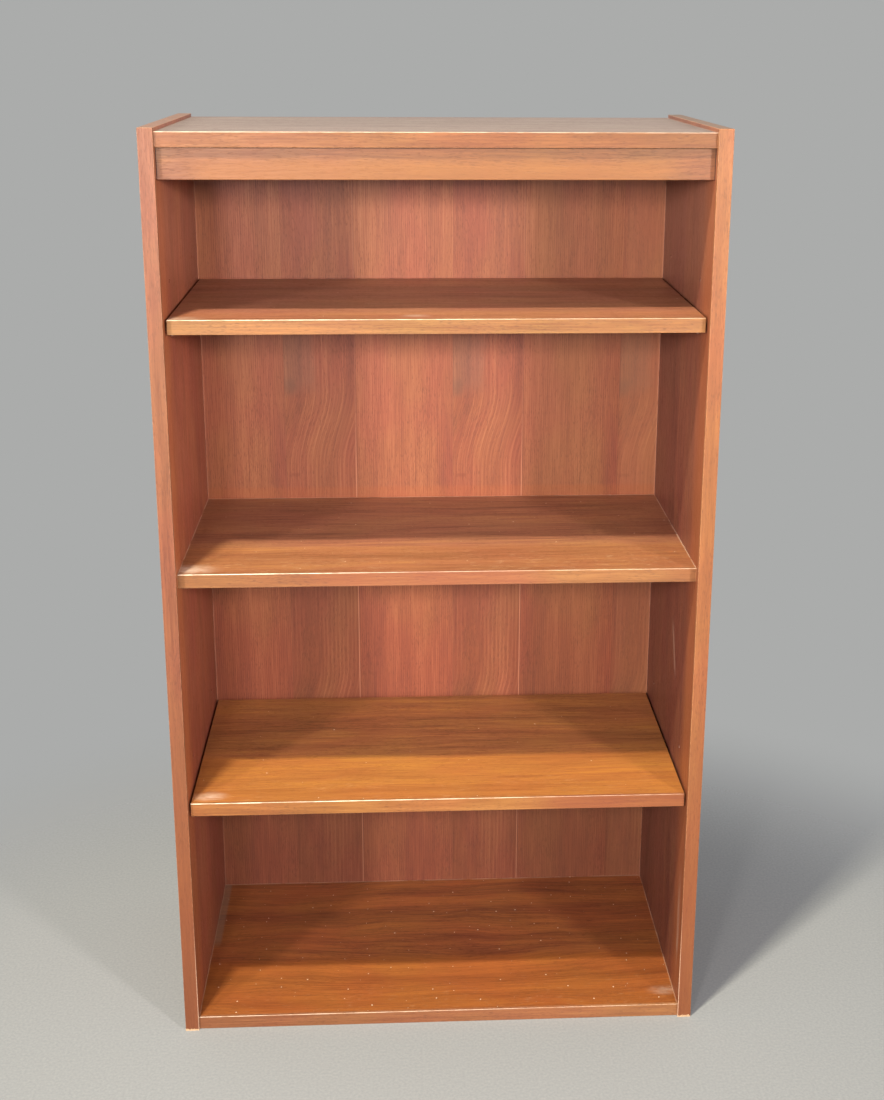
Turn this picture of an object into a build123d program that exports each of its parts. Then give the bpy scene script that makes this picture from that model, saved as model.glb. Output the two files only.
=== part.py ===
from build123d import *
import os

os.makedirs("parts", exist_ok=True)

# A free-standing bookcase, in mm.  +Z is up, the open front faces -Y, and the origin is
# the middle of its footprint on the floor.

# ---- the case ----
case_width = 762
case_depth = 381
case_height = 1321
board = 20  # thickness of every board: a 19 mm core, veneered on both faces
lip = 4  # solid strip glued along a board's front edge
ease = 0.8  # radius rubbed onto the edges that a hand meets

top_drop = 5  # from the upper ends of the sides down to the top
rail_height = 41
fixed_shelf_top = 718  # heights of the upper faces above the floor
upper_shelf_top = 1073
lower_shelf_top = 371

top_inset = 5  # from the front edges of the sides back to each board's front edge
rail_inset = 12
upper_shelf_inset = 14
fixed_shelf_inset = 15
lower_shelf_inset = 9  # this loose shelf stands a little further out than the upper one
bottom_inset = 4

shelf_end_gap = 3  # clearance at each end of a loose shelf
shelf_depth = 358

# ---- the back ----
back_thickness = 6
rabbet_width = 10  # step cut in the back inner edge of a side
back_edge_gap = 0.5
back_floor_gap = 3

screw_length = 22
screw_shank_radius = 1.45
screw_hole_radius = 1.5
screw_head_radius = 3
screw_head_rim = 0.2
screw_hole_depth = 17  # of the pilot holes in the boards
head_recess = 0.3  # the heads lie this far below the back's face

# ---- dowels ----
dowel_radius = 3.95
dowel_hole_radius = 4
dowel_length = 36
dowel_in_side = 12
dowel_end_gap = 0.5
dowel_edge_distance = 45
rail_dowel_edge_distance = 11

# ---- shelf supports: a bent plate with a pin ----
pin_radius = 3.1
pin_hole_radius = 3.15
pin_length = 10
pin_hole_depth = 11
pin_step = 70  # from a hole in use up to the spare one
front_pin_setback = 80  # from the front edge of a side
back_pin_setback = 70  # from its back edge
pin_below_shelf = 8
plate = 1.5
plate_width = 13
plate_drop = 14
plate_reach = 13
rivet_radius = 3.6
rivet_height = 0.8
bend_round = 1.2
tongue_round = 3
foot_round = 4
pin_tip_chamfer = 0.5

# ---- places worked out from these ----
front = -case_depth / 2
back = case_depth / 2
back_face = back - back_thickness  # face of the back panel that the shelves meet
outer = case_width / 2
inner = outer - board  # inner face of a side
top_top = case_height - top_drop
top_under = top_top - board
rail_under = top_under - rail_height
loose_half_length = inner - shelf_end_gap
support_heights = {"upper": upper_shelf_top - board, "lower": lower_shelf_top - board}
pin_rows = {"front": front + front_pin_setback, "back": back - back_pin_setback}
sides = {"left": -1, "right": 1}


def finish(part, name):
    part.label = name
    export_step(part, f"parts/{name}.step")


def facing(direction, x, y, z):
    """A plane at a point, facing out of a surface along the X or Y axis."""
    x_dir = (0, 1, 0) if direction[0] else (1, 0, 0)
    return Plane((x, y, z), x_dir=x_dir, z_dir=direction)


# ---- where the dowels and the screws go ----
def dowel_depths(inset):
    """Depths of the three dowels at each end of a board that runs back to the back panel."""
    first = front + inset + dowel_edge_distance
    last = back_face - dowel_edge_distance
    return [first, (first + last) / 2, last]


rail_y = front + rail_inset + board / 2
rail_dowel_heights = [rail_under + rail_dowel_edge_distance, top_under - rail_dowel_edge_distance]
dowel_places = {  # (y, z) of each dowel, the same at both ends of a board
    "top_dowels": [(y, top_top - board / 2) for y in dowel_depths(top_inset)],
    "rail_dowels": [(rail_y, z) for z in rail_dowel_heights],
    "fixed_shelf_dowels": [(y, fixed_shelf_top - board / 2) for y in dowel_depths(fixed_shelf_inset)],
    "bottom_dowels": [(y, board / 2) for y in dowel_depths(bottom_inset)],
}

screw_line = inner + rabbet_width / 2
side_screw_heights = [60, 299, 538, 777, 1016, 1256]
board_screw_xs = [-240, 0, 240]
board_screws = {  # (x, z) of each screw into the back edge of a board
    "top_panel": [(x, top_top - board / 2) for x in board_screw_xs],
    "fixed_shelf": [(x, fixed_shelf_top - board / 2) for x in board_screw_xs],
    "bottom_panel": [(x, board / 2) for x in board_screw_xs],
}
side_screws = {side: [(s * screw_line, z) for z in side_screw_heights] for side, s in sides.items()}
screw_places = sum(board_screws.values(), []) + sum(side_screws.values(), [])


def drill_for_screws(places):
    for x, z in places:
        with Locations(facing((0, 1, 0), x, back_face, z)):
            Hole(screw_hole_radius, screw_hole_depth)


# ---- the two sides ----
for side, s in sides.items():
    with BuildPart() as side_panel:
        with BuildSketch(Plane.XY):
            with Locations((s * (outer - board / 2), (front + lip + back) / 2)):
                Rectangle(board, case_depth - lip)
        extrude(amount=case_height)
        top_edges = side_panel.faces().sort_by(Axis.Z)[-1].edges()
        upright_edges = side_panel.edges().filter_by(Axis.Z)
        outer_back_edge = upright_edges.filter_by(
            lambda e: e.center().Y > back - 1 and abs(e.center().X) > outer - 1
        )
        fillet(top_edges.sort_by(Axis.Y)[1:] + outer_back_edge, ease)
        # the rabbet for the back panel stops level with the top
        with BuildSketch(Plane.XY):
            with Locations((s * (inner + rabbet_width / 2), back - back_thickness / 2)):
                Rectangle(rabbet_width, back_thickness)
        extrude(amount=top_top, mode=Mode.SUBTRACT)
        for places in dowel_places.values():
            for y, z in places:
                with Locations(facing((-s, 0, 0), s * inner, y, z)):
                    Hole(dowel_hole_radius, dowel_in_side + dowel_end_gap)
        for y in pin_rows.values():
            for under in support_heights.values():
                for step in (0, pin_step):
                    with Locations(facing((-s, 0, 0), s * inner, y, under - pin_below_shelf + step)):
                        Hole(pin_hole_radius, pin_hole_depth)
        drill_for_screws(side_screws[side])
    finish(side_panel.part, f"side_panel_{side}")

    with BuildPart() as side_lipping:
        with BuildSketch(Plane.XY):
            with Locations((s * (outer - board / 2), front + lip / 2)):
                Rectangle(board, lip)
        extrude(amount=case_height)
        rubbed = side_lipping.edges().filter_by(
            lambda e: e.center().Y < front + lip - 0.1 and e.center().Z > 1
        )
        fillet(rubbed, ease)
    finish(side_lipping.part, f"side_lipping_{side}")


# ---- the boards between the sides ----
def make_board(name, half_length, inset, depth, top):
    """A board, less its front strip.  A board with dowels has its end and screw holes drilled."""
    joint = front + inset + lip  # where the board meets its strip
    rear = front + inset + depth
    with BuildPart() as panel:
        with BuildSketch(Plane.XY.offset(top - board)):
            with Locations((0, (joint + rear) / 2)):
                Rectangle(2 * half_length, rear - joint)
        extrude(amount=board)
        dowels = dowel_places.get(f"{name.removesuffix('_panel')}_dowels", [])
        if dowels:
            for s in sides.values():
                for y, z in dowels:
                    with Locations(facing((s, 0, 0), s * half_length, y, z)):
                        Hole(dowel_hole_radius, dowel_length - dowel_in_side + dowel_end_gap)
            drill_for_screws(board_screws[name])
        else:
            end_edges = panel.edges().filter_by(Axis.Y)
            back_edges = panel.edges().filter_by(Axis.X).sort_by(Axis.Y)[-2:]
            fillet(end_edges + back_edges, ease)
    finish(panel.part, name)


def make_lipping(name, half_length, inset, top, rubbed_ends):
    """The solid strip along a board's front edge, eased where a hand meets it."""
    with BuildPart() as strip:
        with BuildSketch(Plane.XY.offset(top - board)):
            with Locations((0, front + inset + lip / 2)):
                Rectangle(2 * half_length, lip)
        extrude(amount=board)
        front_edges = strip.faces().sort_by(Axis.Y)[0].edges()
        if rubbed_ends:
            fillet(front_edges + strip.edges().filter_by(Axis.Y), ease)
        else:
            fillet(front_edges.filter_by(Axis.X), ease)
    finish(strip.part, name)


def depth_to_back(inset):
    return back_face - front - inset


boards = {  # name: half length, inset, depth, height of the upper face, rubbed ends
    "top_panel": (inner, top_inset, depth_to_back(top_inset), top_top, False),
    "fixed_shelf": (
        inner, fixed_shelf_inset, depth_to_back(fixed_shelf_inset), fixed_shelf_top, False
    ),
    "bottom_panel": (inner, bottom_inset, depth_to_back(bottom_inset), board, False),
    "upper_shelf": (loose_half_length, upper_shelf_inset, shelf_depth, upper_shelf_top, True),
    "lower_shelf": (loose_half_length, lower_shelf_inset, shelf_depth, lower_shelf_top, True),
}
for name, (half_length, inset, depth, top, rubbed_ends) in boards.items():
    make_board(name, half_length, inset, depth, top)
    make_lipping(f"{name.removesuffix('_panel')}_lipping", half_length, inset, top, rubbed_ends)

# ---- the rail under the top, a solid batten ----
with BuildPart() as fascia_rail:
    with BuildSketch(Plane.XY.offset(rail_under)):
        with Locations((0, rail_y)):
            Rectangle(2 * inner, board)
    extrude(amount=rail_height)
    for s in sides.values():
        for y, z in dowel_places["rail_dowels"]:
            with Locations(facing((s, 0, 0), s * inner, y, z)):
                Hole(dowel_hole_radius, dowel_length - dowel_in_side + dowel_end_gap)
    long_edges = fascia_rail.edges().filter_by(Axis.X)
    lower_edges = long_edges.group_by(Axis.Z)[0]
    front_upper_edge = long_edges.group_by(Axis.Z)[-1].sort_by(Axis.Y)[0]
    fillet(lower_edges + [front_upper_edge], ease)
finish(fascia_rail.part, "fascia_rail")

# ---- the back ----
back_half_width = inner + rabbet_width - back_edge_gap
countersink_radius = screw_head_radius + screw_head_rim + head_recess + 0.05
with BuildPart() as back_panel:
    with BuildSketch(Plane.XY.offset(back_floor_gap)):
        with Locations((0, back - back_thickness / 2)):
            Rectangle(2 * back_half_width, back_thickness)
    extrude(amount=top_top - back_floor_gap)
    for x, z in screw_places:
        with Locations(facing((0, 1, 0), x, back, z)):
            CounterSinkHole(screw_hole_radius, countersink_radius, counter_sink_angle=90)
finish(back_panel.part, "back_panel")

# ---- one countersunk screw, along its own Z with its head up, then all of them ----
tip_height = 4
recess_width = 0.9
recess_length = 3.4
recess_depth = 1.3
with BuildPart() as screw:
    with BuildSketch(Plane.XZ):
        with BuildLine():
            Polyline(
                (0, 0),
                (screw_head_radius, 0),
                (screw_head_radius, -screw_head_rim),
                (screw_shank_radius, screw_shank_radius - screw_head_radius - screw_head_rim),
                (screw_shank_radius, tip_height - screw_length),
                (0, -screw_length),
                (0, 0),
            )
        make_face()
    revolve(axis=Axis.Z)
    with BuildSketch(Plane.XY):
        Rectangle(recess_length, recess_width)
        Rectangle(recess_width, recess_length)
    extrude(amount=-recess_depth, mode=Mode.SUBTRACT)
head_face = back - head_recess
with BuildPart() as back_screws:
    for x, z in screw_places:
        with Locations(facing((0, 1, 0), x, head_face, z)):
            add(screw.part)
finish(back_screws.part, "back_screws")

# ---- one beech dowel with glue grooves, along its own Z, then the sets ----
groove_radius = 0.35
groove_count = 8
with BuildPart() as dowel:
    with BuildSketch(Plane.XY.offset(-dowel_length / 2)):
        Circle(dowel_radius)
        with PolarLocations(dowel_radius, groove_count):
            Circle(groove_radius, mode=Mode.SUBTRACT)
    extrude(amount=dowel_length)
for name, places in dowel_places.items():
    with BuildPart() as dowels:
        for s in sides.values():
            for y, z in places:
                middle = s * (inner + dowel_in_side - dowel_length / 2)
                with Locations(facing((s, 0, 0), middle, y, z)):
                    add(dowel.part)
    finish(dowels.part, name)

# ---- the shelf supports ----
for shelf, under in support_heights.items():
    for row, y in pin_rows.items():
        for side, s in sides.items():
            wall = s * inner
            with BuildPart() as support:
                # the bent plate: one leg flat on the side, the other under the shelf
                with BuildSketch(Plane.XZ.offset(-(y + plate_width / 2))):
                    with BuildLine():
                        Polyline(
                            (wall, under),
                            (wall - s * plate_reach, under),
                            (wall - s * plate_reach, under - plate),
                            (wall - s * plate, under - plate),
                            (wall - s * plate, under - plate_drop),
                            (wall, under - plate_drop),
                            (wall, under),
                        )
                    make_face()
                extrude(amount=plate_width)
                tongue_corners = support.edges().filter_by(Axis.Z).filter_by(
                    lambda e: abs(e.center().X) < inner - plate_reach + 0.1
                )
                foot_corners = support.edges().filter_by(Axis.X).filter_by(
                    lambda e: e.center().Z < under - plate_drop + 0.1
                )
                bend = support.edges().filter_by(Axis.Y).filter_by(
                    lambda e: abs(e.center().X) > inner - 0.1 and e.center().Z > under - 0.1
                )
                fillet(tongue_corners, tongue_round)
                fillet(foot_corners, foot_round)
                fillet(bend, bend_round)
                pin_height = under - pin_below_shelf
                with BuildSketch(facing((s, 0, 0), wall, y, pin_height)):
                    Circle(pin_radius)
                extrude(amount=pin_length)
                pin_end = support.faces().sort_by(Axis.X)[-1 if s > 0 else 0]
                chamfer(pin_end.edges(), pin_tip_chamfer)
                with BuildSketch(facing((-s, 0, 0), wall - s * plate, y, pin_height)):
                    Circle(rivet_radius)
                extrude(amount=rivet_height)
            finish(support.part, f"{shelf}_support_{row}_{side}")
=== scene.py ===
"""The looks of a free-standing veneered bookcase: oiled walnut veneer, solid walnut lippings, nickel
plated shelf supports, zinc plated back screws, a pale floor, soft light and the camera.

Everything is in metres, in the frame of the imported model: +Z up, the open front faces -Y, and the
origin is the middle of the footprint on the floor.
"""

import math
from functools import cached_property

import bpy
from mathutils import Euler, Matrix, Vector


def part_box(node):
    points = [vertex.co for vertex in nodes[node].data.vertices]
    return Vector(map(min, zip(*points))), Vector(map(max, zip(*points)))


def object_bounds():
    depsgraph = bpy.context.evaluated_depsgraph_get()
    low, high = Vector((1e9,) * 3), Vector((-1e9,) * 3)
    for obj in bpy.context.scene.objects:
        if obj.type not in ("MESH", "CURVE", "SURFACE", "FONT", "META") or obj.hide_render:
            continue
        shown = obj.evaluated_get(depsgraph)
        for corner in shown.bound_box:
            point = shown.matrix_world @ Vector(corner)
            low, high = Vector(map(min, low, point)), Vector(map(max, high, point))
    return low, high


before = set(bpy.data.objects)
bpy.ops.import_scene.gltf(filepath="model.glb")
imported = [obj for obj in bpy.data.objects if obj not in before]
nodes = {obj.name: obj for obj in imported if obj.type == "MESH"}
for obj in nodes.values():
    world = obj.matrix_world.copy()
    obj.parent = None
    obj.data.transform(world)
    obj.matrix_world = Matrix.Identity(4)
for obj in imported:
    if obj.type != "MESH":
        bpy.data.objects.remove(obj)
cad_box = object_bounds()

MM = 0.001

front = cad_box[0].y
case_height = cad_box[1].z
inner_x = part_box("side_panel_right")[0].x  # inner face of the right side
back_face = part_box("back_panel")[0].y
fixed_shelf_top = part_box("fixed_shelf")[1].z


# ---- surfaces ----
def linear(hexcode):
    """An sRGB colour such as "b5643c" as linear red, green, blue and alpha."""
    shares = [int(hexcode[i : i + 2], 16) / 255 for i in (0, 2, 4)]
    return [c / 12.92 if c <= 0.04045 else ((c + 0.055) / 1.055) ** 2.4 for c in shares] + [1.0]


class Surface:
    """A new material: its nodes, the point they colour, and the box of the piece that wears it."""

    def __init__(self, name, node=None):
        self.material = bpy.data.materials.new(name)
        self.material.use_nodes = True
        self.shader = self.material.node_tree.nodes["Principled BSDF"]
        self.xyz = self.add("SeparateXYZ", self.add("TexCoord", out="Object")).node.outputs
        self.x, self.y, self.z = self.xyz
        if node:
            self.low, self.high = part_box(node)

    @cached_property
    def facing(self):
        """The three parts of the direction that the surface faces."""
        return self.add("SeparateXYZ", self.add("NewGeometry", out="Normal")).node.outputs

    @cached_property
    def blotch(self):
        """Soft patches, 35 mm across."""
        return self.add("TexNoise", self.cells(35 * MM), None, 1.0, 3.0, 0.65)

    @cached_property
    def speckle(self):
        """Ragged spots, 4 mm across."""
        return self.add("TexNoise", self.cells(4 * MM), None, 1.0, 3.0, 0.7)

    def add(self, kind, *inputs, out=0, stops=(), **settings):
        """Adds a node with its settings and its inputs, as values or links, and returns an output.

        A word after the kind is the node's operation, and an input that is None stays as it is.
        """
        kind, *operation = kind.split()
        made = self.material.node_tree.nodes.new("ShaderNode" + kind)
        if operation:
            made.operation = operation[0]
        if kind == "MapRange":  # every edge of a pattern or a mark is soft
            made.interpolation_type = "SMOOTHSTEP"
        for name, value in settings.items():
            setattr(made, name, value)
        for socket, value in zip(made.inputs, inputs):
            if isinstance(value, bpy.types.NodeSocket):
                self.link(value, socket)
            elif value is not None:
                socket.default_value = linear(value) if isinstance(value, str) else value
        for _ in stops[2:]:
            made.color_ramp.elements.new(1.0)
        for number, (place, shade) in enumerate(stops):
            made.color_ramp.elements[number].position = place
            made.color_ramp.elements[number].color = linear(shade)
        return made.outputs[out]

    def link(self, output, socket):
        self.material.node_tree.links.new(output, socket)

    def drive(self, name, output):
        """Lets a pattern set the shader's socket of that name."""
        self.link(output, self.shader.inputs[name])

    def cells(self, *sizes, place=None):
        """A point counted in the cells of a pattern. sizes are a cell's three sides, or its one side."""
        sides = sizes if len(sizes) == 3 else sizes * 3
        return self.add("VectorMath DIVIDE", self.add("CombineXYZ", *(place or self.xyz)), sides)

    def near(self, axis, place, reach, core=0.0):
        """1 within core of a plane across an axis, and 0 from reach away."""
        off = self.add("Math ABSOLUTE", self.add("Math SUBTRACT", self.xyz[axis], place))
        return self.add("MapRange", off, reach, core)

    def near_either(self, first_x, second_x, reach, core):
        """1 within core of either of two planes across X."""
        first = self.near(0, first_x, reach, core)
        return self.add("Math MAXIMUM", first, self.near(0, second_x, reach, core))

    def edge(self, first_axis, first_place, second_axis, second_place, reach, core):
        """1 within core of the line where two planes meet."""
        first = self.near(first_axis, first_place, reach, core)
        return self.add("Math MULTIPLY", first, self.near(second_axis, second_place, reach, core))

    def between(self, value, start, end, soft):
        """1 from start to end, fading over soft outside them."""
        rise = self.add("MapRange", value, start - soft, start)
        return self.add("Math MULTIPLY", rise, self.add("MapRange", value, end + soft, end))

    def paint(self, shade, colour, strength, *shares):
        """Lays a colour over a shade, as strongly as the strength times every share."""
        for share in shares:
            strength = self.add("Math MULTIPLY", share, strength)
        return self.add("Mix", strength, *[None] * 5, shade, colour, out=2, data_type="RGBA")

    def wear(self, *names):
        """Puts the material on the nodes of those names."""
        for name in names:
            nodes[name].data.materials.clear()
            nodes[name].data.materials.append(self.material)


# ---- walnut ----
# Every wood here is walnut under an old oil finish: red brown, straight grained, with short dark
# pores and a satin sheen, and bare pale wood where the edges are rubbed. Tones go dark to light.
TONES = {
    "side_panel_left": ("6e372b", "9a5440", "b46d4b"),
    "side_panel_right": ("502a23", "714034", "88573c"),
    "back_panel": ("743c2d", "8d4d34", "a56243"),
    # the top's grey is partly dust and partly a painted reflection of the pale room, seen at a low angle
    "top_panel": ("6b544e", "836c64", "937f78"),
    "upper_shelf": ("6e3e31", "9b634b", "b98059"),
    "fixed_shelf": ("683c2c", "966247", "b47e4f"),
    "lower_shelf": ("784428", "a66b3e", "c48741"),
    "bottom_panel": ("5c2d1e", "91532e", "b36a36"),
    "side_lipping_left": ("6c3b26", "7f4d35", "92593c"),
    "side_lipping_right": ("7d4b2d", "925936", "a46b40"),
    "top_lipping": ("6a3b22", "794928", "8e5a33"),
    "fascia_rail": ("653a25", "7a4d30", "99633b"),
    "upper_shelf_lipping": ("754728", "8c6037", "a6703e"),
    "fixed_shelf_lipping": ("74472b", "875634", "9e6b43"),
    "lower_shelf_lipping": ("774727", "8f592d", "a56d3c"),
    "bottom_lipping": ("784529", "8f5939", "a36b42"),
}
PORE = "3c1c14"
BARE = "e9b890"
DUST = "cdb3a2"

# the numbers of the axes across, through and along the grain
UPRIGHT = (1, 0, 2)  # a side
LEVEL = (1, 2, 0)  # a shelf
UPRIGHT_FRONT = (0, 1, 2)  # a side's lipping
LEVEL_FRONT = (2, 1, 0)  # a shelf's lipping, and the rail

# Each piece is cut from its own place in the figure, so that no two are alike. Where several pieces
# are made in turn, the step leads from one to the next.
SIDE_SEEDS = {"left": 11.0, "right": 20.0}
SIDE_LIPPING_STEP = 40.0
BOARD_SEED = 51.0
LIPPING_SEED = 91.0
BOARD_STEP = 7.0
RAIL_SEED = 131.0
BACK_SEED = 141.0


class Grain:
    """The figure of a wood: broad bands, growth bands, fibres and pores, each from 0 to 1.

    Real pores are 0.2 mm wide. These are 1 mm wide, so that they show.
    """

    def __init__(self, on, across, through, along, seed, sway, broad_width=48 * MM):
        self.on = on
        place = on.cells(220 * MM, 1.0, 420 * MM, place=(across, seed, along))
        drift = on.add("TexNoise", place, None, 1.0, 2.0)
        self.across = on.add("Math MULTIPLY_ADD", drift, sway, across)
        self.through, self.along, self.seed = through, along, seed
        self.broad = self.layer(broad_width, 620 * MM, 0, 3.0, 0.6)
        self.bands = self.layer(9 * MM, 300 * MM, 3.1, 3.0, 0.65)
        self.fibres = self.layer(2.4 * MM, 60 * MM, 7.7, 2.0, 0.6)
        dashes = self.layer(1.0 * MM, 9 * MM, 5.3, 1.0, 0.5)
        patches = self.layer(30 * MM, 90 * MM, 9.1, 2.0, 0.5)
        self.pores = on.add("MapRange", on.add("Math MULTIPLY_ADD", patches, 0.3, dashes), 0.72, 0.84)
        self.clouds = self.layer(70 * MM, 150 * MM, 12.9, 2.0, 0.5)

    def layer(self, width, length, offset, detail, roughness):
        """Noise drawn out along the grain, in cells of a width and a length."""
        on = self.on
        depth = on.add("Math MULTIPLY_ADD", self.through, 1 / (5 * width), self.seed + offset)
        place = on.cells(width, 1.0, length, place=(self.across, depth, self.along))
        return on.add("TexNoise", place, None, 1.0, detail, roughness)

    def shade(self, tones, contrast):
        """The three tones laid over the figure, turned pinker or more golden in soft clouds."""
        on = self.on
        tone = on.add("Math MULTIPLY", self.broad, 0.42)
        tone = on.add("Math MULTIPLY_ADD", self.bands, 0.22, tone)
        tone = on.add("Math MULTIPLY_ADD", self.fibres, 0.36, tone)
        places = (0.5 - 0.15 / contrast, 0.5, 0.5 + 0.15 / contrast)
        shade = on.add("ValToRGB", tone, stops=list(zip(places, tones)))
        hue = on.add("MapRange", self.clouds, 0.34, 0.66, 0.4955, 0.5045)  # 0.5 leaves the hue as it is
        shade = on.add("HueSaturation", hue, 1.0, 1.0, 1.0, shade)
        return on.paint(shade, PORE, 0.32, self.pores)

    def finish(self, shade, gloss):
        """An oil finish: satin, broken up by the grain, with the pores left open."""
        on = self.on
        height = on.add("Math SUBTRACT", self.fibres, self.pores)
        on.drive("Base Color", shade)
        on.drive("Roughness", on.add("MapRange", height, 0.0, 1.0, gloss + 0.1, gloss - 0.05))
        on.drive("Normal", on.add("Bump", 0.5, 0.12 * MM, None, height))


def walnut(name, node, axes, seed, marks, contrast=1.0, sway=25 * MM, broad_width=48 * MM):
    """Oiled walnut on one piece, with its own marks of wear painted over the grain.

    Each mark is a function, followed by what it needs beyond the surface and the shade.
    """
    on = Surface(name, node)
    grain = Grain(on, *(on.xyz[axis] for axis in axes), seed, sway, broad_width)
    shade = grain.shade(TONES[node], contrast)
    for mark, *sizes in marks:
        shade = mark(on, shade, *sizes)
    grain.finish(shade, 0.4)
    on.wear(node)
    return on


def rubbed_arrises(on, shade):
    """Bare, pale wood along the edges. The line comes and goes."""
    off = []
    for axis in range(3):
        middle = (on.low[axis] + on.high[axis]) / 2
        reach = on.add("Math ABSOLUTE", on.add("Math SUBTRACT", on.xyz[axis], middle))
        off.append(on.add("Math SUBTRACT", (on.high[axis] - on.low[axis]) / 2, reach))
    # the middle one of the three distances is the distance to the nearest edge
    smaller = on.add("Math MINIMUM", off[0], off[1])
    larger = on.add("Math MAXIMUM", off[0], off[1])
    nearest = on.add("Math MAXIMUM", smaller, on.add("Math MINIMUM", larger, off[2]))
    ragged = on.add("Math MULTIPLY_ADD", on.speckle, -1.4 * MM, nearest)
    return on.paint(shade, BARE, 0.3, on.add("MapRange", ragged, 0.1 * MM, -0.7 * MM))


def raw_chipboard(on, shade, *faces):
    """Bare chipboard on hidden edges: pale chips pressed flat. faces are (axis, sign) pairs."""
    chips = on.add("TexVoronoi", on.cells(3.2 * MM), None, 1.0, out="Color")
    tints = [(0.1, "927149"), (0.5, "a5835a"), (0.9, "b6956a")]
    bare = on.add("ValToRGB", on.add("SeparateXYZ", chips), stops=tints)
    for axis, sign in faces:
        turned = on.add("Math MULTIPLY", on.facing[axis], sign)
        shade = on.paint(shade, bare, 1.0, on.add("MapRange", turned, 0.6, 0.8))
    return shade


# ---- the sides ----
def dust_and_sheen_upper_end(on, shade):
    """The end band of a side, greyed by dust and by a painted sheen of the light it reflects at a low
    angle.
    """
    return on.paint(shade, "8d7768", 0.65, on.add("MapRange", on.facing[2], 0.5, 0.9))


def painted_light_and_shade_inner_face(on, shade, inner_side):
    """Painted light and shade on the inner face: paler high up and browner low down, orange in front and
    dark brown behind, as the light falls into the case.
    """
    inner = on.near(0, inner_side, 2 * MM, 1 * MM)
    behind = on.add("MapRange", on.y, front + 170 * MM, back_face)
    high_up = on.add("MapRange", on.z, fixed_shelf_top + 280 * MM, case_height)
    low_down = on.add("MapRange", on.z, fixed_shelf_top, 250 * MM)
    in_front = on.add("MapRange", on.y, front + 90 * MM, front + 30 * MM)
    shade = on.paint(shade, "552c22", 0.35, inner, behind)
    shade = on.paint(shade, "c98f74", 0.22, inner, high_up)
    shade = on.paint(shade, "43211a", 0.2, inner, low_down)
    return on.paint(shade, "b86a38", 0.35, inner, in_front)


def browner_outside(on, shade, sign):
    """The outer face of a side, painted a deeper brown."""
    outside = on.add("MapRange", on.add("Math MULTIPLY", on.facing[0], sign), 0.6, 0.8)
    return on.paint(shade, "6b4029", 0.5, outside)


def scratches(on, shade):
    """A pale smear and a scuff on the inner face of the right side."""
    inner = on.near(0, inner_x, 2 * MM, 1 * MM)
    streaks = on.add("TexNoise", on.cells(1.0, 3 * MM, 60 * MM), None, 1.0, 2.0)
    streaks = on.add("MapRange", streaks, 0.42, 0.65)
    smear = on.between(on.z, 100 * MM, 200 * MM, 60 * MM)
    shade = on.paint(shade, DUST, 0.4, inner, smear, on.near(1, front + 28 * MM, 14 * MM), streaks)
    slant = on.add("Math MULTIPLY_ADD", on.z, -0.45, on.y)  # a scuff that runs up and forward
    scuff = on.between(slant, -285 * MM, -277 * MM, 5 * MM)
    return on.paint(shade, DUST, 0.25, inner, scuff, on.between(on.z, 520 * MM, 560 * MM, 25 * MM))


def painted_shade_towards_floor(on, shade, colour, strength):
    """Painted shade: a side's front edge is a deeper red low down, where less light reaches it."""
    low_down = on.add("MapRange", on.z, 0.5 * case_height, 0.1 * case_height)
    return on.paint(shade, colour, strength, low_down)


def knocked_foot(on, shade, inner_side):
    """Raw, pale wood at the foot of a side, and along its inner arris low down."""
    ragged = on.add("Math MULTIPLY_ADD", on.speckle, -9 * MM, on.z)
    shade = on.paint(shade, "d9b690", 0.85, on.add("MapRange", ragged, -0.8 * MM, -2.3 * MM))
    arris = on.edge(0, inner_side, 1, on.low.y, 1.2 * MM, 0.4 * MM)
    low_down = on.add("MapRange", on.z, 200 * MM, 60 * MM)
    return on.paint(shade, "f0c8ae", 0.6, arris, low_down)


# what one side has and the other hasn't, and the painted shade, a deep red, on its lipping towards the
# floor
ONE_SIDED_MARKS = {"left": (browner_outside, -1), "right": (scratches,)}
SHADED_FOOT = {"left": ("7a3c1c", 0.55), "right": ("7d4024", 0.6)}

for side, sign in (("left", -1), ("right", 1)):
    inner_side = sign * inner_x
    marks = [
        (painted_light_and_shade_inner_face, inner_side),
        (dust_and_sheen_upper_end,),
        (rubbed_arrises,),
        ONE_SIDED_MARKS[side],
        (raw_chipboard, (1, 1), (2, -1)),
    ]
    seed = SIDE_SEEDS[side]
    walnut(f"oiled_walnut_veneer_side_{side}", f"side_panel_{side}", UPRIGHT, seed, marks, 0.8)
    marks = [(painted_shade_towards_floor, *SHADED_FOOT[side]), (rubbed_arrises,), (knocked_foot, inner_side)]
    seed += SIDE_LIPPING_STEP
    name = f"side_lipping_{side}"
    walnut(f"solid_walnut_{name}", name, UPRIGHT_FRONT, seed, marks, sway=6 * MM)


# ---- the top, the shelves and the bottom ----
def worn_and_highlit_front_arris(on, shade, strength, fade):
    """The front upper arris of a level lipping, worn white where hands and books rub it, and a painted
    highlight where the rounded arris catches the light.
    """
    line = on.edge(2, on.high.z, 1, on.low.y, 1.2 * MM, 0.45 * MM)
    uneven = on.add("MapRange", on.blotch, 0.35, 0.6, 0.35, 1.0)
    to_right = on.add("MapRange", on.x, -300 * MM, 250 * MM, 1.0, fade)
    return on.paint(shade, "fbe6d0", strength, line, uneven, to_right)


def pinker_middle(on, shade, start, end):
    """Heartwood in a lipping: a redder, duller length between two places."""
    return on.paint(shade, "8a4636", 0.4, on.between(on.x, start, end, 110 * MM))


def joint_behind_lipping(on, shade):
    """The thin dark joint between the veneer and the lipping."""
    return on.paint(shade, "40200f", 0.5, on.near(1, on.low.y, 1.1 * MM, 0.3 * MM))


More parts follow.
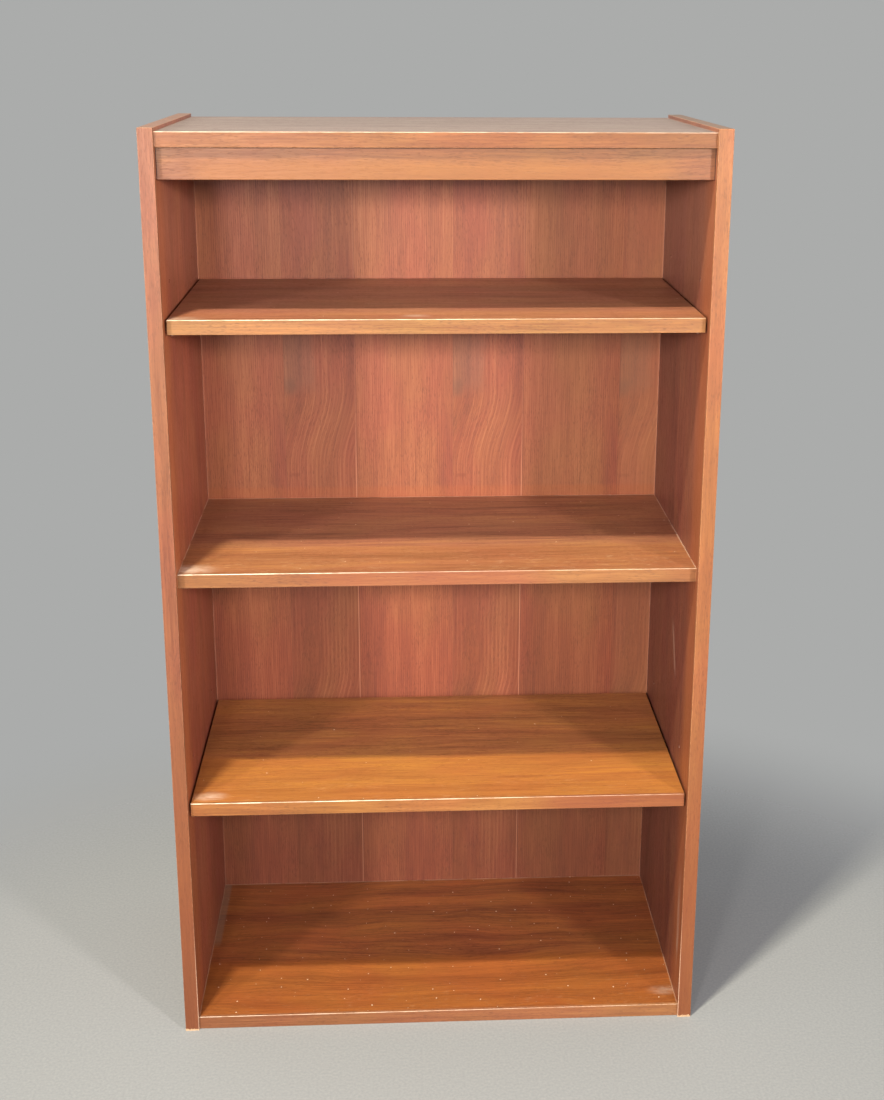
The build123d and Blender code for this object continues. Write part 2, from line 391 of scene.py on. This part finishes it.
def dust_specks(on, shade, spacing, strength):
    """Scattered grains of dust, a millimetre across."""
    flat = on.cells(spacing, spacing, 1.0, place=(on.x, on.y, 0.0))
    grain = on.add("TexVoronoi", flat, None, 1.0, voronoi_dimensions="2D").node
    size = on.add("Math MULTIPLY", on.add("SeparateXYZ", grain.outputs["Color"]), 1.3 * MM / spacing)
    off = on.add("Math SUBTRACT", grain.outputs["Distance"], size)
    return on.paint(shade, "f0ddc8", strength, on.add("MapRange", off, 0.0, -0.3 * MM / spacing))


def pale_dashes(on, shade, reach, strength):
    """Short pale scratches along the grain, near the front edge, where things are slid in."""
    dash = on.add("TexNoise", on.cells(16 * MM, 0.9 * MM, 1.0), None, 1.0, 1.0)
    at_front = on.add("MapRange", on.y, on.low.y + reach, on.low.y + 0.2 * reach)
    patches = on.add("MapRange", on.blotch, 0.4, 0.6)
    return on.paint(shade, "f0cfa8", strength, on.add("MapRange", dash, 0.64, 0.74), at_front, patches)


def painted_light_front(on, shade, depth, gold, strength):
    """Painted light on the front of a board, golden as far back as the light reaches under the board
    above, and painted shade, redder, behind it.
    """
    start, end = front + depth - 12 * MM, front + depth + 12 * MM
    shade = on.paint(shade, gold, strength, on.add("MapRange", on.y, end, start))
    return on.paint(shade, "6a3a38", 0.2 * strength, on.add("MapRange", on.y, start, end))


def scuffed_patch(on, shade, x, y, size, strength):
    """A rubbed, whitened patch on a shelf, twice as wide as it is deep."""
    here = on.cells(size, 0.5 * size, 1.0, place=(on.x, on.y, 0.0))
    off = on.add("VectorMath DISTANCE", here, (x / size, y / (0.5 * size), 0.0), out="Value")
    rubbed = on.add("MapRange", off, 1.0, 0.1)
    streaks = on.add("TexNoise", on.cells(18 * MM, 3 * MM, 1.0), None, 1.0, 2.0)
    streaks = on.add("MapRange", streaks, 0.1, 0.65)
    uneven = on.add("MapRange", on.blotch, 0.3, 0.6, 0.3, 1.0)
    return on.paint(shade, "e8d8ca", strength, rubbed, streaks, uneven)


def glue_line(on, shade, strength):
    """Pale glue and dust along the ends and the back of a board that is fixed on all sides."""
    ends = on.near_either(on.low.x, on.high.x, 1.8 * MM, 0.6 * MM)
    line = on.add("Math MAXIMUM", ends, on.near(1, on.high.y, 3.5 * MM, 1.2 * MM))
    return on.paint(shade, "dcc4b0", strength, line, on.add("MapRange", on.blotch, 0.3, 0.5))


def greyer_left_end(on, shade):
    """A dull grey streak of glue beside the left side, in the back half."""
    streak = on.between(on.x, on.low.x, on.low.x + 9 * MM, 5 * MM)
    return on.paint(shade, "8d7566", 0.5, streak, on.between(on.y, 20 * MM, back_face, 30 * MM))


def worn_end(on, shade, x):
    """The rubbed upper arris at one end of a loose shelf, near its front."""
    arris = on.edge(0, x, 2, on.high.z, 2.2 * MM, 0.8 * MM)
    in_front = on.add("MapRange", on.y, front + 100 * MM, front + 40 * MM)
    return on.paint(shade, "e8c4a8", 0.7, arris, in_front)


BOARD_MARKS = {
    "top_panel": [],
    "upper_shelf": [
        (painted_light_front, 65 * MM, "a86428", 0.16),
        (pale_dashes, 110 * MM, 0.35),
        (dust_specks, 70 * MM, 0.75),
        (scuffed_patch, -345 * MM, -168 * MM, 45 * MM, 0.55),
        (scuffed_patch, -30 * MM, -150 * MM, 26 * MM, 0.35),
        (worn_end, inner_x),
    ],
    "fixed_shelf": [
        (painted_light_front, 125 * MM, "a86824", 0.22),
        (pale_dashes, 140 * MM, 0.55),
        (dust_specks, 60 * MM, 0.75),
        (scuffed_patch, -352 * MM, -155 * MM, 55 * MM, 0.65),
        (glue_line, 0.5),
    ],
    "lower_shelf": [
        (painted_light_front, 149 * MM, "a8641c", 0.34),
        (pale_dashes, 110 * MM, 0.25),
        (dust_specks, 80 * MM, 0.75),
        (scuffed_patch, -335 * MM, -160 * MM, 36 * MM, 0.5),
    ],
    "bottom_panel": [
        (painted_light_front, 145 * MM, "9c5614", 0.28),
        (pale_dashes, 110 * MM, 0.25),
        (dust_specks, 34 * MM, 0.8),
        (glue_line, 0.25),
        (greyer_left_end,),
        (scuffed_patch, 345 * MM, -150 * MM, 32 * MM, 0.3),
    ],
}
# how bright the front arris is at the left, and what is left of it at the right
LIPPING_MARKS = {
    "top_panel": [(worn_and_highlit_front_arris, 0.6, 0.6)],
    "upper_shelf": [(worn_and_highlit_front_arris, 0.8, 0.35)],
    "fixed_shelf": [(worn_and_highlit_front_arris, 1.0, 0.3), (pinker_middle, -100 * MM, 80 * MM)],
    "lower_shelf": [(worn_and_highlit_front_arris, 1.0, 0.4), (pinker_middle, 200 * MM, 360 * MM)],
    "bottom_panel": [(worn_and_highlit_front_arris, 0.5, 0.6)],
}
BOARD_ENDS_AND_BACK = ((0, 1), (0, -1), (1, 1))

for number, (board, marks) in enumerate(BOARD_MARKS.items()):
    marks = [(rubbed_arrises,), (joint_behind_lipping,), *marks, (raw_chipboard, *BOARD_ENDS_AND_BACK)]
    seed = BOARD_SEED + BOARD_STEP * number
    sway, broad_width = (90 * MM, 34 * MM) if board == "bottom_panel" else (36 * MM, 40 * MM)
    on = walnut(f"oiled_walnut_veneer_{board}", board, LEVEL, seed, marks, 0.8, sway, broad_width)
    if board == "top_panel":  # a film of dust catches the light at a low angle
        on.shader.inputs["Sheen Weight"].default_value = 0.06
        on.shader.inputs["Sheen Roughness"].default_value = 0.4
        on.shader.inputs["Sheen Tint"].default_value = linear("d8d6d2")
    lipping = f"{board.removesuffix('_panel')}_lipping"
    marks = [(rubbed_arrises,), *LIPPING_MARKS[board]]
    seed = LIPPING_SEED + BOARD_STEP * number
    walnut(f"solid_walnut_{lipping}", lipping, LEVEL_FRONT, seed, marks, sway=6 * MM)


# ---- the rail ----
def painted_light_on_rail(on, shade):
    """Painted light and shade on the rail: golden below, where the light reaches under the top, and
    pinker at its ends and just under the top, where the shade falls.
    """
    slant = on.add("Math MULTIPLY_ADD", on.blotch, 16 * MM, on.z)
    below = on.add("MapRange", slant, on.low.z + 40 * MM, on.low.z + 24 * MM)
    inside = on.between(on.x, -290 * MM, 280 * MM, 50 * MM)
    return on.paint(shade, "97602e", 0.4, below, inside)


def rail_joint_shadows(on, shade):
    """Painted shadow: dark lines in the gaps where the rail meets the top and the sides."""
    ends = on.near_either(on.low.x, on.high.x, 2 * MM, 0.7 * MM)
    line = on.add("Math MAXIMUM", ends, on.near(2, on.high.z, 2 * MM, 0.6 * MM))
    return on.paint(shade, "2c1510", 0.8, line)


marks = [(painted_light_on_rail,), (rail_joint_shadows,)]
walnut("solid_walnut_rail", "fascia_rail", LEVEL_FRONT, RAIL_SEED, marks, 0.65, 24 * MM, 30 * MM)

# ---- the back ----
LEAF_PAIR = 266 * MM  # one figured leaf and one plain leaf, laid side by side and repeated
FIGURED_WIDTH = 112 * MM
FIRST_LEAF_X = -234 * MM
LINE_SPACING = 6.5 * MM  # of the growth lines in a figured leaf
STRIPE_SPACING = 3.2 * MM  # of the fine stripes in a plain leaf
LATER_CUT = 3 * MM  # how much further up the log each pair of leaves was cut


def slip_matched_back():
    """Two leaves, slip matched: the same figure comes again in every pair."""
    on = Surface("slip_matched_walnut_veneer_back", "back_panel")
    from_first = on.add("Math SUBTRACT", on.x, FIRST_LEAF_X)
    place = on.add("Math WRAP", from_first, LEAF_PAIR, 0.0)
    pair = on.add("Math FLOOR", on.add("Math DIVIDE", from_first, LEAF_PAIR))
    height = on.add("Math MULTIPLY_ADD", pair, LATER_CUT, on.z)
    figured = on.add("MapRange", place, FIGURED_WIDTH + 0.1 * MM, FIGURED_WIDTH - 0.1 * MM)
    plain = on.add("Math SUBTRACT", 1.0, figured)

    # in a figured leaf the growth lines swing to the left on their way down
    swing = on.add("MapRange", height, 900 * MM, 770 * MM, 0.0, 28 * MM)
    lower_swing = on.add("MapRange", height, 420 * MM, 300 * MM, 0.0, 22 * MM)
    swing = on.add("Math ADD", swing, lower_swing)
    across = on.add("Math MULTIPLY_ADD", swing, figured, place)
    across = on.add("Math MULTIPLY_ADD", figured, 0.7, across)
    grain = Grain(on, across, on.y, height, BACK_SEED, 8 * MM)
    shade = grain.shade(TONES["back_panel"], 0.85)

    wave = on.add("Math MULTIPLY", grain.across, math.tau / LINE_SPACING)
    line = on.add("Math SINE", on.add("Math MULTIPLY_ADD", grain.bands, 5.0, wave))
    strong = on.add("MapRange", grain.broad, 0.42, 0.58, 0.1, 1.0)
    shade = on.paint(shade, "c98a64", 0.13, figured, strong, on.add("MapRange", line, 0.2, 0.95))
    shade = on.paint(shade, "6a3628", 0.1, figured, strong, on.add("MapRange", line, -0.3, -0.95))
    wave = on.add("Math MULTIPLY", on.x, math.tau / STRIPE_SPACING)
    stripe = on.add("Math SINE", on.add("Math MULTIPLY_ADD", grain.bands, 6.0, wave))
    shade = on.paint(shade, "c98a64", 0.1, plain, on.add("MapRange", stripe, 0.0, 1.0))

    # a grey stain, a smudge and a small knot come again in every figured leaf
    ragged = on.add("Math MULTIPLY_ADD", on.blotch, 30 * MM, place)
    ragged = on.add("Math MULTIPLY_ADD", on.speckle, 12 * MM, ragged)
    stain = on.between(ragged, 20 * MM, 60 * MM, 20 * MM)
    shade = on.paint(shade, "70584a", 0.26, stain, on.between(height, 915 * MM, 970 * MM, 35 * MM))
    smudge = on.between(ragged, 24 * MM, 32 * MM, 14 * MM)
    shade = on.paint(shade, "5b4438", 0.32, smudge, on.between(height, 897 * MM, 905 * MM, 17 * MM))
    knot = on.between(ragged, 30 * MM, 38 * MM, 9 * MM)
    shade = on.paint(shade, "6a3022", 0.3, knot, on.between(height, 756 * MM, 758 * MM, 3.5 * MM))

    # towards the right one leaf is browner, and the last one is paler
    shade = on.paint(shade, "8f6a40", 0.14, on.between(on.x, 180 * MM, 260 * MM, 40 * MM))
    shade = on.paint(shade, "cf9468", 0.14, on.between(on.x, 310 * MM, inner_x, 16 * MM))
    above_shelf = on.between(on.z, fixed_shelf_top, fixed_shelf_top + 14 * MM, 8 * MM)
    shade = on.paint(shade, "a8582c", 0.22, above_shelf)
    # below the fixed shelf the figured leaves are darker, partly in their own tone and partly as painted
    # shade, most of all just under it
    browner = on.add("MapRange", on.z, 300 * MM, 660 * MM, 0.35, 0.75)
    below_shelf = on.add("MapRange", on.z, 710 * MM, 680 * MM)
    shade = on.paint(shade, "54301f", 0.42, figured, browner, below_shelf)

    # the joints between the leaves have opened, and show more low down
    for joint in (0.0, FIGURED_WIDTH):
        dark = on.between(place, joint + 0.3 * MM, joint + 0.9 * MM, 0.4 * MM)
        shade = on.paint(shade, "5f3325", 0.3, dark)
        pale = on.between(place, joint - 1.3 * MM, joint - 0.3 * MM, 0.4 * MM)
        low_down = on.add("MapRange", on.z, 880 * MM, 720 * MM, 0.2, 1.0)
        shade = on.paint(shade, "cf9274", 0.5, pale, low_down)
    corner = on.near_either(-inner_x, inner_x, 2.2 * MM, 0.7 * MM)
    shade = on.paint(shade, "dba58c", 0.22, corner, on.add("MapRange", on.blotch, 0.3, 0.5))
    # painted shade: the back darkens towards the floor in the lowest bay
    painted_shade_low_down = on.add("MapRange", on.z, 360 * MM, 300 * MM)
    shade = on.paint(shade, "4a2a22", 0.3, painted_shade_low_down)
    shade = on.paint(shade, unfinished_ply(on), 1.0, on.add("MapRange", on.facing[1], 0.5, 0.8))
    grain.finish(shade, 0.46)
    on.wear("back_panel")


def unfinished_ply(on):
    """The rear face: plain rotary cut veneer that was never oiled, pale and a little dirty."""
    drift = on.add("TexNoise", on.cells(180 * MM, 1.0, 420 * MM), None, 1.0, 2.0)
    across = on.add("Math MULTIPLY_ADD", drift, 170 * MM, on.x)
    place = on.cells(12 * MM, 1.0, 1400 * MM, place=(across, 3.0, on.z))
    rings = on.add("TexNoise", place, None, 1.0, 3.0, 0.6)
    bare = on.add("ValToRGB", rings, stops=[(0.3, "9b7553"), (0.5, "a47d59"), (0.7, "ae8761")])
    return on.paint(bare, "7a5a42", 0.35, on.add("MapRange", on.blotch, 0.5, 0.75))


slip_matched_back()


# ---- metal and hidden wood ----
def plated_steel(name, dull, bright, roughness):
    """Bright plated steel, tumbled smooth: a soft mirror with faint handling marks."""
    on = Surface(name)
    on.shader.inputs["Metallic"].default_value = 1.0
    marks = on.add("TexNoise", on.cells(1.1 * MM), None, 1.0, 3.0, 0.6)
    on.drive("Base Color", on.add("ValToRGB", marks, stops=[(0.35, dull), (0.65, bright)]))
    on.drive("Roughness", on.add("MapRange", marks, 0.3, 0.7, roughness - 0.06, roughness + 0.1))
    return on


def turned_beech():
    """Fluted beech dowel: pale, fine and dull."""
    on = Surface("turned_beech")
    fleck = on.add("TexNoise", on.cells(17 * MM, 1.1 * MM, 1.1 * MM), None, 1.0, 2.0)
    on.drive("Base Color", on.add("ValToRGB", fleck, stops=[(0.3, "c79a6d"), (0.7, "dcb88c")]))
    on.shader.inputs["Roughness"].default_value = 0.7
    return on


supports = [name for name in nodes if "_support_" in name]
dowels = [name for name in nodes if "dowels" in name]
plated_steel("nickel_plated_steel", "b8b0a0", "d8d2c4", 0.28).wear(*supports)
plated_steel("zinc_plated_steel", "a9abab", "c9ccce", 0.36).wear("back_screws")
turned_beech().wear(*dowels)

# ---- floor, light and camera ----
FLOOR_RADIUS = 4.0
FLOOR_MIDDLE = (0.0, front - 0.3, 0.0)  # the floor fades away from a point in front of the case
FADE_START = 0.85
FADE_END = 1.5

CAMERA_PLACE = (-0.0545, -2.1677, 1.4304)
CAMERA_DOWN = 15.88  # degrees
CAMERA_TO_RIGHT = 3.11
CAMERA_ROLL = 0.31


def pale_floor():
    """A plain pale floor that fades into the plain background."""
    bpy.ops.object.select_all(action="DESELECT")
    bpy.ops.mesh.primitive_circle_add(vertices=96, radius=FLOOR_RADIUS, fill_type="NGON")
    floor = bpy.context.object
    floor.name = "floor"
    on = Surface("plain_floor")
    grit = on.add("TexNoise", on.cells(4 * MM), None, 1.0, 3.0)
    on.drive("Base Color", on.add("ValToRGB", grit, stops=[(0.3, "919397"), (0.7, "9b9da1")]))
    on.shader.inputs["Roughness"].default_value = 0.9
    on.shader.inputs["Specular IOR Level"].default_value = 0.1
    away = on.add("VectorMath DISTANCE", on.add("CombineXYZ", *on.xyz), FLOOR_MIDDLE, out="Value")
    faded = on.add("MapRange", away, FADE_START, FADE_END)
    seen = on.add("MixShader", faded, on.shader.outputs[0], on.add("BsdfTransparent"))
    on.link(seen, on.material.node_tree.nodes["Material Output"].inputs["Surface"])
    floor.data.materials.append(on.material)


def area_light(name, place, target, width, depth, power, tint, spread=180):
    """A lamp with a flat rectangular face turned to the target. The camera doesn't see it."""
    data = bpy.data.lights.new(name, "AREA")
    data.shape = "RECTANGLE"
    data.size, data.size_y = width, depth
    data.energy = power
    data.color = linear(tint)[:3]
    data.spread = math.radians(spread)
    light = bpy.data.objects.new(name, data)
    light.location = place
    light.rotation_euler = (Vector(place) - Vector(target)).to_track_quat("Z", "Y").to_euler()
    light.visible_camera = False
    bpy.context.scene.collection.objects.link(light)


def studio():
    """A narrow ceiling strip in front, three small lamps at head height, and a broad cool fill."""
    world = bpy.data.worlds.new("plain_background")
    world.use_nodes = True
    world.node_tree.nodes["Background"].inputs["Color"].default_value = linear("abacab")
    bpy.context.scene.world = world
    middle = (0, 0, case_height / 2)
    high = (0, front, 0.78 * case_height)
    area_light("ceiling_strip", (-0.82, -1.5, 4.0), middle, 0.22, 0.07, 152, "fff8dc")
    area_light("left_lamp", (-2.0, -2.54, 1.63), high, 0.28, 0.28, 16, "fff5ea", 75)
    area_light("near_lamp", (-0.62, -2.54, 1.45), middle, 0.2, 0.2, 4.2, "fff5ea", 75)
    area_light("right_lamp", (1.75, -2.54, 1.63), high, 0.28, 0.28, 14, "fff5ea", 75)
    area_light("front_fill", (0, -4.2, 2.0), middle, 5.0, 3.2, 52, "f4f9fd")


def camera():
    """A camera in front, a little to the left and above, looking down, as if held by hand."""
    data = bpy.data.cameras.new("camera")
    data.sensor_fit = "AUTO"
    data.sensor_width = 36
    data.lens = 49.69
    data.shift_x = -0.033
    data.shift_y = -0.0718
    made = bpy.data.objects.new("camera", data)
    made.location = CAMERA_PLACE
    aim = Euler((math.radians(90 - CAMERA_DOWN), 0, -math.radians(CAMERA_TO_RIGHT)))
    roll = Euler((0, 0, math.radians(CAMERA_ROLL)))
    made.rotation_euler = (aim.to_matrix() @ roll.to_matrix()).to_euler()
    bpy.context.scene.collection.objects.link(made)
    bpy.context.scene.camera = made


pale_floor()
studio()
camera()
bpy.context.scene.view_settings.view_transform = "Standard"
